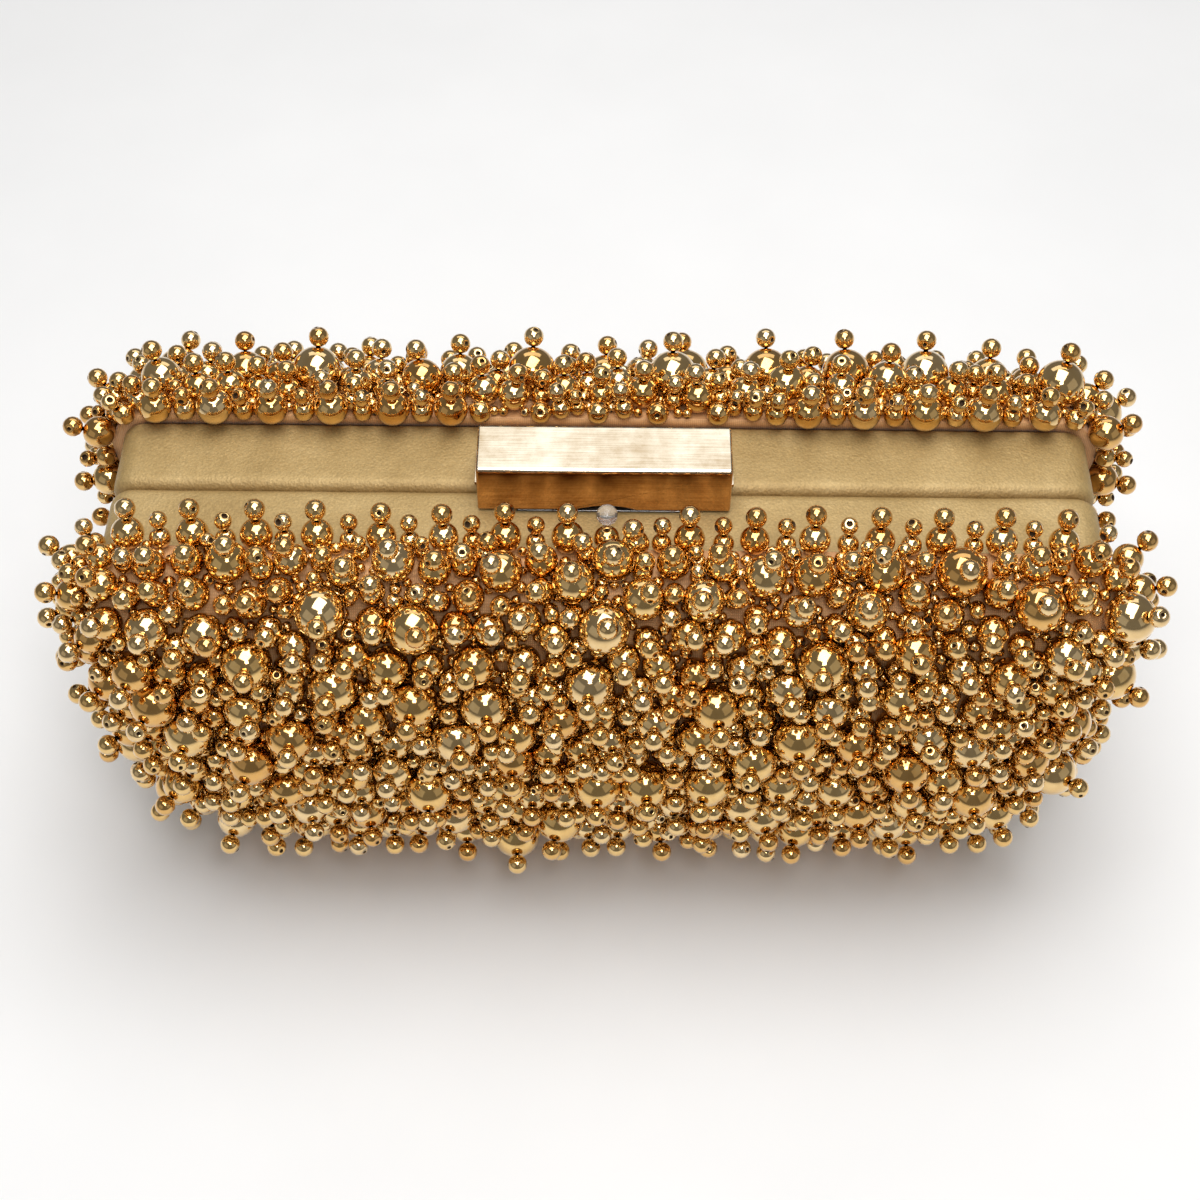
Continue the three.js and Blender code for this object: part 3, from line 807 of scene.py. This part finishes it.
# ---- beads ----
HOLE = 0.42  # radius of a bead's bore
STOPPER = 2.1  # radius of the bead that ends a stack
NESTED = 0.99  # distance between threaded beads, as a share of their radii together
SEWN_LEAN = 70  # how far a sewn bead's bore may lean off the fabric's plane, in degrees
THREADED_LEAN = 80  # and how far a threaded bead's may lean off square to its stack
PRESSED = 0.35  # how far neighbouring beads on the fabric may overlap
TOUCHING = 0.12  # and a bead higher in a stack with any other
CROWDED = 0.5  # widest gap between neighbours where beads are packed close
MOST_BEADS = 9000
FLOOR_CLEARANCE = 0.8
OVER_BAND = 12.5  # how near the seam plane a bead may come
CLASP_HALF = 26
CLASP_PIN = (8.0, HEIGHT + 2.8)
CLASP_SWING = 9.4  # from the clasp's pin to the bar's furthest corner
CLASP_OPEN = math.radians(64)  # that corner's angle from upright when the clasp is open
CLEARANCE = 0.3


class Bead:
    """One bead: its centre and radius, the direction of its bore, and its material."""

    def __init__(self, centre, radius, bore, clear=False):
        self.centre = centre
        self.radius = radius
        self.bore = bore
        self.clear = clear


class Beadwork:
    """The beads of one half, in coordinates [x, depth, z]. Neighbours overlap slightly at most."""

    def __init__(self, half, seed):
        self.random = random.Random(seed)
        self.behind_clasp = half == "back"
        self.beads = []
        self.stacks = []
        self.spheres = np.zeros((MOST_BEADS, 4))

    def room(self, centre, radius):
        """True if a bead clears the floor, the flange, the leather band and the clasp's swing."""
        x, depth, z = centre
        if z - radius < FLOOR_CLEARANCE:
            return False
        if z < SHELL_BASE + SHELL_BASE_CORNER:
            return depth - radius > SHELL_EDGE + FLANGE + GAP
        if self.behind_clasp and abs(x) < CLASP_HALF + radius:
            return clears_swing(depth, z, radius)
        return depth - radius > OVER_BAND

    def gap(self, centre, radius):
        """The room between a bead and its nearest neighbour, below 0 where they overlap."""
        others = self.spheres[: len(self.beads)]
        away = np.linalg.norm(others[:, :3] - centre, axis=1) - others[:, 3]
        return away.min(initial=math.inf) - radius

    def add(self, centre, radius, bore, clear=False):
        """Adds a bead, whatever is near it."""
        self.spheres[len(self.beads)] = (*centre, radius)
        self.beads.append(Bead(centre, radius, bore, clear))

    def lean(self, direction, most):
        """A direction tilted by up to `most` degrees at random."""
        tilt = math.radians(most) * math.sqrt(self.random.random())
        turn = self.random.uniform(0, 2 * math.pi)
        side = across(direction)
        other = np.cross(direction, side)
        sideways = math.cos(turn) * side + math.sin(turn) * other
        return math.cos(tilt) * direction + math.sin(tilt) * sideways

    def sew(self, foot, normal, radii, lean, near=math.inf):
        """Sews a stack's lowest bead to the fabric, if it has room there and a neighbour as near
        as asked. The stack's other beads come later."""
        centre = foot + normal * radii[0]
        if not -PRESSED < self.gap(centre, radii[0]) <= near:
            return False
        if not self.room(centre, radii[0]):
            return False
        self.add(centre, radii[0], self.lean(across(normal), SEWN_LEAN))
        self.stacks.append((self.beads[-1], normal, radii[1:], lean))
        return True

    def top_up(self, tries=16):
        """Threads the smaller beads of each stack over its lowest one, at the first lean that has
        room for them. A bead with no room is left off."""
        for lowest, normal, more, lean in self.stacks:
            below = lowest
            way = normal
            for radius in more:
                for attempt in range(tries):
                    tried = self.lean(way, lean * (0.3 + 0.7 * attempt / tries))
                    centre = below.centre + tried * (below.radius + radius) * NESTED
                    if self.gap(centre, radius) > -TOUCHING and self.room(centre, radius):
                        break
                else:
                    break
                below.bore = tried
                self.add(centre, radius, self.lean(across(tried), THREADED_LEAN))
                below = self.beads[-1]
                way = tried
        self.stacks = []


def clears_swing(depth, z, radius):
    """True if a bead behind the clasp is outside the space that the bar swings through."""
    back = depth - CLASP_PIN[0]
    up = z - CLASP_PIN[1]
    if math.atan2(back, up) < CLASP_OPEN:
        return math.hypot(back, up) > CLASP_SWING + radius + CLEARANCE
    corner = (CLASP_SWING * math.sin(CLASP_OPEN), CLASP_SWING * math.cos(CLASP_OPEN))
    return math.dist((back, up), corner) > radius + CLEARANCE


def across(direction):
    """A unit vector at right angles to a direction."""
    helper = np.array([0.0, 0.0, 1.0]) if abs(direction[2]) < 0.9 else np.array([1.0, 0.0, 0.0])
    side = np.cross(direction, helper)
    return side / np.linalg.norm(side)


class Skin:
    """The fabric's surface, as a grid of quads to pick points from by area."""

    FLAT_RINGS = (2, 4, 5.8)  # insets of the flat face's rings from the crown's

    def __init__(self):
        last = SHOULDER + CROWN_INSET
        top = SHELL_EDGE + SHOULDER + CROWN
        rings = bowl_rings(SHELL, SHELL_EDGE, SHOULDER)
        rings += [ring(SHELL, last + more, top) for more in self.FLAT_RINGS]
        grid = np.array(rings)
        after = np.roll(grid, -1, axis=1)
        quads = np.stack([grid[:-1], after[:-1], after[1:], grid[1:]], axis=2)
        self.corners = quads.reshape(-1, 4, 3)
        one = self.corners[:, 2] - self.corners[:, 0]
        two = self.corners[:, 3] - self.corners[:, 1]
        normal = np.cross(two, one)
        size = np.linalg.norm(normal, axis=1)
        keep = size > 1e-6
        self.corners = self.corners[keep]
        self.share = size[keep] / size[keep].sum()
        self.normals = normal[keep] / size[keep, None]
        middle = np.array([0, SHELL_EDGE, HEIGHT / 2])
        inward = ((self.corners[:, 0] - middle) * self.normals).sum(axis=1) < 0
        self.normals[inward] *= -1

    def pick(self, count, seed):
        """Points spread evenly at random over the fabric, with their normals."""
        chance = np.random.default_rng(seed)
        quads = chance.choice(len(self.corners), count, p=self.share)
        u, v = chance.random((2, count, 1))
        a, b, c, d = self.corners[quads].transpose(1, 0, 2)
        points = (a * (1 - u) + b * u) * (1 - v) + (d * (1 - u) + c * u) * v
        return zip(points, self.normals[quads])


# Each size of stack, largest first: the radii of its beads, how many places are tried, how many
# are kept at most, how far the stack may lean, in degrees, and the share of them kept low down.
STACKS = (
    ((5.0, STOPPER), 900, 30, 60, 0.35),
    ((4.2, STOPPER), 1500, 60, 55, 0.4),
    ((3.3, STOPPER), 9000, 400, 45, 0.6),
    ((2.7, STOPPER), 12000, 500, 45, 1.0),
    ((2.1, 2.0), 14000, 900, 45, 1.0),
    ((1.7, 1.5), 14000, 1500, 40, 1.0),
    ((1.3,), 10000, 900, 0, 1.0),
    ((1.0,), 12000, 900, 0, 1.0),
)
LARGE = 3  # how many of these sizes are large
PACKED = 0.6  # share of the places tried for a smaller size that need a neighbour close by
LOW = 42  # height below which the larger stacks are fewer
BARE = 24  # height below which there are single smaller beads only
ROW_PITCH = 12.0  # between the larger stacks along the rim
ROW_UNEVEN = 0.07  # how far one strays along the row, as a share of the space for it
ROW_BEADS = {"front": (3.1, 2.1), "back": (3.5, 2.3)}  # the larger and the smaller lowest beads
ROW_TOPS = (STOPPER, 1.8)  # and the beads over them
ROW_LEAN = {"front": 14, "back": 22}  # lean of a lowest bead over the band, in degrees
ROW_TOP_LEAN = {"front": 20, "back": 4}  # and of the rest of its stack
LEANT_BACK = (-8, -16)  # leans of a lowest bead that are tried last
ROW_LOOSE = 10  # how far the rest of a stack may stray from its lean


def edge_row(work, half):
    """The row of stacks along the rim, every second one smaller. They lean over the band."""
    path = SHELL.at(0)
    along = np.concatenate([[0], np.cumsum(np.linalg.norm(np.diff(path, axis=0), axis=1))])
    count = round(along[-1] / ROW_PITCH) * 2
    lean = ROW_LEAN[half]
    for i in range(count):
        there = (i + work.random.uniform(-ROW_UNEVEN, ROW_UNEVEN)) * along[-1] / count
        x, z = on_path(path, along, there)
        ahead = on_path(path, along, there + 0.5) - (x, z)
        out = np.array([ahead[1], 0.0, -ahead[0]]) / np.linalg.norm(ahead)
        low = ROW_BEADS[half][i % 2] * work.random.uniform(0.94, 1.06)
        radii = (low, ROW_TOPS[i % 2])
        foot = np.array([x, SHELL_EDGE + 0.2, z])
        for tried in (lean, lean / 2, 0, *LEANT_BACK):
            if work.sew(foot, leant(out, tried), radii, ROW_LOOSE):
                lowest, _, more, loose = work.stacks[-1]
                work.stacks[-1] = (lowest, leant(out, ROW_TOP_LEAN[half]), more, loose)
                break


def on_path(path, along, distance):
    """The point of a path at a distance from its start."""
    return np.array([np.interp(distance, along, path[:, k]) for k in (0, 1)])


def leant(direction, degrees):
    """A direction leant towards the seam plane."""
    a = math.radians(degrees)
    return math.cos(a) * direction - math.sin(a) * np.array([0.0, 1.0, 0.0])


CREST = math.radians(50)  # steepness of the fabric along the back's crest
CREST_BEADS = 11
CREST_REACH = TOP_HALF - 14
CREST_RADII = (3.6, 4.2, 5.0)
CREST_LEAN = 18


def crest(work):
    """The large beads spaced along the back's upper shoulder, each with its stopper."""
    for i in range(CREST_BEADS):
        x = CREST_REACH * (2 * (i + work.random.uniform(0.2, 0.8)) / CREST_BEADS - 1)
        a = CREST + work.random.uniform(-0.25, 0.2)
        normal = np.array([0.0, math.cos(a), math.sin(a)])
        middle = np.array([x, SHELL_EDGE, HEIGHT + RISE - SHOULDER])
        radii = (work.random.choice(CREST_RADII), STOPPER)
        work.sew(middle + SHOULDER * normal, normal, radii, CREST_LEAN)


def bead_places(half, skin, seed):
    """Every bead of one half: the rows along its rim first, then the stacks by size."""
    work = Beadwork(half, seed)
    if half == "front":
        add_clear_bead(work)
    edge_row(work, half)
    work.top_up()
    if half == "back":
        crest(work)
        work.top_up()
    for k, (radii, tried, most, lean, low_share) in enumerate(STACKS):
        kept = 0
        for n, (point, normal) in enumerate(skin.pick(tried, seed * 10 + k)):
            packed = k >= LARGE and n < PACKED * tried
            if point[2] < LOW and work.random.random() > low_share:
                continue
            if point[2] < BARE and k < LARGE:
                continue
            shown = radii if point[2] > BARE else radii[:1]
            kept += work.sew(point, normal, shown, lean, CROWDED if packed else math.inf)
            if kept == most:
                break
    work.top_up()
    return work


CLEAR_X = 0.6
CLEAR_FOOT = 2.6  # radius of the gold bead under the clear one
CLEAR_REACH = 4.6  # between the centres of the two
CLEAR_LEAN = (22, 40)  # leans of the lower and the upper one


def add_clear_bead(work):
    """The clear bead and the gold one under it, in the front row at the clasp's middle."""
    upright = np.array([0.0, 0.0, 1.0])
    low_lean, high_lean = CLEAR_LEAN
    foot = np.array([CLEAR_X, SHELL_EDGE, HEIGHT + RISE])
    low = foot + CLEAR_FOOT * leant(upright, low_lean)
    high = low + CLEAR_REACH * leant(upright, high_lean)
    work.add(low, CLEAR_FOOT, upright)
    work.add(high, STOPPER, np.array([1.0, 0.0, 0.0]), clear=True)


# The bead shapes: the radii from and up to which each is used, its sides and its rings.
SHAPES = ((0, 1.9, 12, 7), (1.9, 2.5, 16, 9), (2.5, 3.6, 24, 14), (3.6, 9, 32, 20))
BORE_END = 0.75  # radius of the bore's end, as a share of its mouth's
BORE_DEPTH = 0.45  # as a share of the bead's radius


def bead_template(sides, rings, radius):
    """A unit bead with its bore along Z: points, faces, and which faces are in the bore."""
    mouth = math.asin(HOLE / radius)
    angles = np.linspace(mouth, math.pi - mouth, rings)
    inside = BORE_END * HOLE / radius
    end = math.cos(mouth) - BORE_DEPTH
    profile = [(inside, end), *zip(np.sin(angles), np.cos(angles)), (inside, -end)]
    turn = np.arange(sides) * 2 * math.pi / sides
    points = np.array([(r * math.cos(a), r * math.sin(a), z) for r, z in profile for a in turn])
    faces = []
    bore = []
    for k in range(len(profile) - 1):
        for i in range(sides):
            j = (i + 1) % sides
            faces.append((k * sides + i, (k + 1) * sides + i, (k + 1) * sides + j, k * sides + j))
            bore.append(k in (0, len(profile) - 2))
    last = (len(profile) - 1) * sides
    faces.append(tuple(range(sides)))
    faces.append(tuple(last + i for i in reversed(range(sides))))
    bore += [True, True]
    return points, faces, np.array(bore)


def turned(directions):
    """For each direction, a matrix whose columns turn Z to it."""
    made = []
    for z in directions:
        x = across(z)
        made.append(np.stack([x, np.cross(z, x), z], axis=1))
    return np.array(made)


def bead_mesh(name, work, side):
    """One mesh of every bead. Larger beads have more faces."""
    chunks = []
    chance = np.random.default_rng(len(work.beads))
    for low, high, sides, rings in SHAPES:
        group = [b for b in work.beads if low <= b.radius < high]
        if group:
            chunks.append(bead_chunk(group, sides, rings, chance))
    first = begun = 0
    for part in chunks:
        part["corners"] += first
        part["starts"] += begun
        first += len(part["points"])
        begun += len(part["corners"])
    whole = {key: np.concatenate([part[key] for part in chunks]) for key in chunks[0]}
    mesh = bpy.data.meshes.new(name)
    co = whole["points"] * [MM, side * MM, MM]
    mesh.vertices.add(len(co))
    mesh.vertices.foreach_set("co", co.astype(np.float32).ravel())
    mesh.loops.add(len(whole["corners"]))
    mesh.loops.foreach_set("vertex_index", whole["corners"].astype(np.int32))
    mesh.polygons.add(len(whole["starts"]))
    mesh.polygons.foreach_set("loop_start", whole["starts"].astype(np.int32))
    mesh.polygons.foreach_set("material_index", whole["materials"].astype(np.int32))
    mesh.polygons.foreach_set("use_smooth", whole["materials"] != 1)
    mesh.update(calc_edges=True)
    mesh.validate()
    if side == FRONT:
        mesh.flip_normals()
    tone = mesh.attributes.new("tone", "FLOAT", "FACE")
    tone.data.foreach_set("value", whole["tones"].astype(np.float32))
    piece = bpy.data.objects.new(name, mesh)
    bpy.context.scene.collection.objects.link(piece)
    return piece


def bead_chunk(group, sides, rings, chance):
    """The beads of one size range as arrays, for one mesh."""
    points, faces, bore = bead_template(sides, rings, np.mean([b.radius for b in group]))
    spin = turned([b.bore / np.linalg.norm(b.bore) for b in group])
    radius = np.array([b.radius for b in group])[:, None, None]
    centre = np.array([b.centre for b in group])[:, None, :]
    placed = centre + radius * np.einsum("bij,vj->bvi", spin, points)
    flat = np.concatenate([np.array(f) for f in faces])
    sizes = np.array([len(f) for f in faces])
    begun = np.concatenate([[0], np.cumsum(sizes)[:-1]])
    index = np.arange(len(group))[:, None]
    clear = np.array([b.clear for b in group])[:, None]
    body = np.where(clear, 2, 0)
    return {
        "points": placed.reshape(-1, 3),
        "corners": (flat[None] + index * len(points)).ravel(),
        "starts": (begun[None] + index * len(flat)).ravel(),
        "materials": np.where(bore[None], 1, body).ravel(),
        "tones": np.repeat(chance.random(len(group)), len(faces)),
    }


def beadwork(half, side, skin, seed):
    """One half's beads as a piece, with plating, bores and the clear bead as its materials."""
    work = bead_places(half, skin, seed)
    piece = bead_mesh(half + "_beads", work, side)
    place(piece, half + "_half", "gold_beads", "beads", half + "_beadwork")
    piece.data.materials.append(MATERIALS["hole"])
    piece.data.materials.append(MATERIALS["clear"])


# ---- clasp spring ----
WIRE_R = 0.22
SPRING_R = 1.15
SPRING_TURNS = 7.25
TURN_STEPS = 24
WIRE_SIDES = 10
SPRING_LEG = 1.2
SPRING_WIDTH = 7.96


def spring_path():
    """The coil round the clasp's pin, then its leg along the coil's tangent."""
    y, z = CLASP_PIN
    points = []
    for t in np.linspace(0, 1, round(SPRING_TURNS * TURN_STEPS) + 1):
        a = math.pi + t * SPRING_TURNS * 2 * math.pi
        x = SPRING_WIDTH * (t - 0.5)
        points.append((x, y + SPRING_R * math.cos(a), z + SPRING_R * math.sin(a)))
    x, y, z = points[-1]
    points += [(x, y + SPRING_LEG * t, z) for t in (0.25, 0.5, 0.75, 1)]
    return np.array(points)


def clasp_spring():
    """Round wire along the spring's path."""
    path = spring_path()
    ahead = np.gradient(path, axis=0)
    ahead /= np.linalg.norm(ahead, axis=1)[:, None]
    rings = []
    for point, way in zip(path, ahead):
        up = np.cross(way, (1, 0, 0))
        up /= np.linalg.norm(up)
        side = np.cross(way, up)
        turn = np.linspace(0, 2 * math.pi, WIRE_SIDES + 1)[:-1]
        rings.append([point + WIRE_R * (math.cos(a) * up + math.sin(a) * side) for a in turn])
    piece = new_piece("clasp_coil", *loft([np.array(r) for r in rings]))
    place(piece, "back_half", "clasp_steel", "steel", "clasp_spring")


# ---- CAD nodes that are shown as they are ----
CARRIED = {
    "aluminium": ("rim_core",),
    "board": ("shell",),
    "brass": ("hinge_leaf", "hinge_rivet"),
    "steel": ("hinge_pin", "clasp_pin", "clasp_screw", "strike", "clasp_magnet"),
    "clasp": ("clasp_bar", "clasp_base"),
    "plastic": ("clasp_insert",),
}
SOFTENED = {"clasp_bar": 0.55, "clasp_base": 0.15, "strike_plate": 0.12, "clasp_insert": 0.2}
SLIGHTLY = 0.08  # width of the rounded edges on all others
MERGED = 0.002  # points nearer than this are joined first


def carried_nodes():
    """Gives each node its material and its rounded edges."""
    for name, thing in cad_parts.items():
        for material, kinds in CARRIED.items():
            if any(kind in name for kind in kinds):
                thing.data.materials.clear()
                thing.data.materials.append(MATERIALS[material])
        soften(thing, SOFTENED.get(name, SLIGHTLY))


def soften(thing, width):
    """Small rounded edges that catch the light."""
    weld = thing.modifiers.new("one_surface", "WELD")
    weld.merge_threshold = MERGED * MM
    bevel = thing.modifiers.new("soft_edges", "BEVEL")
    bevel.width = width * MM
    bevel.segments = 3
    bevel.limit_method = "ANGLE"
    bevel.angle_limit = math.radians(40)
    bevel.use_clamp_overlap = thing.name != "clasp_bar"
    thing.modifiers.new("even_shading", "WEIGHTED_NORMAL")
    thing.data.shade_smooth()


# ---- stage ----
TILT = 51  # the camera's angle above the horizon
DISTANCE = 420  # from the seam's middle at the top of the rim
LENS = 63
SEAM_RISE = 22.2  # how far the seam lies above the middle of the picture
CAMERA_X = -0.6
ROLL = 0.56
FLOOR_HALF = 3.0  # metres
AIM = (0, 0, 0.06)  # where every light points
LIGHTS = {  # where each one is, its width and height, all in metres, and its power in watts
    "overhead": ((0.02, -0.01, 0.75), (0.70, 0.52), 4.9),
    "back": ((0, 0.85, 0.95), (1.3, 0.5), 2.3),
    "left": ((-0.9, -0.8, 0.6), (1.1, 0.8), 0.6),
    "right": ((0.95, -0.6, 0.6), (1.1, 0.8), 0.6),
    "flash": ((0.03, -0.30, 0.48), (0.12, 0.10), 0.40),
}
WORLD_COLOUR = (1.0, 0.98, 0.95, 1)
WORLD_STRENGTH = 0.19


def camera():
    """The camera, which looks down at the seam from in front."""
    tilt = math.radians(TILT)
    ahead = Vector((0, math.cos(tilt), -math.sin(tilt)))
    up = Vector((0, math.sin(tilt), math.cos(tilt)))
    seam = Vector((CAMERA_X, 0, HEIGHT))
    made = bpy.data.objects.new("camera", bpy.data.cameras.new("camera"))
    made.location = (seam - ahead * DISTANCE - up * SEAM_RISE) * MM
    made.rotation_euler = (math.radians(90 - TILT), 0, 0)
    made.rotation_euler.rotate_axis("Z", math.radians(ROLL))
    made.data.lens = LENS
    made.data.sensor_width = 36
    made.data.clip_start = 0.01
    made.data.clip_end = 20
    bpy.context.scene.collection.objects.link(made)
    bpy.context.scene.camera = made


def light(name, at, size, power):
    """A soft rectangular light."""
    data = bpy.data.lights.new(name, "AREA")
    data.shape = "RECTANGLE"
    data.size, data.size_y = size
    data.energy = power
    made = bpy.data.objects.new(name, data)
    made.location = at
    made.rotation_euler = (Vector(AIM) - Vector(at)).to_track_quat("-Z", "Y").to_euler()
    bpy.context.scene.collection.objects.link(made)


def lights():
    """The lights and the dim room round them."""
    for name, (at, size, power) in LIGHTS.items():
        light(name, at, size, power)
    world = bpy.data.worlds.new("studio")
    world.use_nodes = True
    background = world.node_tree.nodes["Background"]
    background.inputs["Color"].default_value = WORLD_COLOUR
    background.inputs["Strength"].default_value = WORLD_STRENGTH
    bpy.context.scene.world = world


def floor():
    """The pale floor, which belongs to the stage."""
    far = FLOOR_HALF / MM
    corners = [(-far, -far, 0), (far, -far, 0), (far, far, 0), (-far, far, 0)]
    made = new_piece("floor", corners, [(0, 1, 2, 3)])
    made.data.materials.append(floor_white())


# ---- assembly ----
skin = Skin()
for half, side in HALVES.items():
    leather_rim(half, side)
    fabric_cover(half, side)
    satin_lining(half, side)
beadwork("front", FRONT, skin, seed=11)
beadwork("back", BACK, skin, seed=23)
clasp_spring()
carried_nodes()
floor()
camera()
lights()
bpy.context.scene.view_settings.view_transform = "Standard"

bpy.context.view_layer.update()
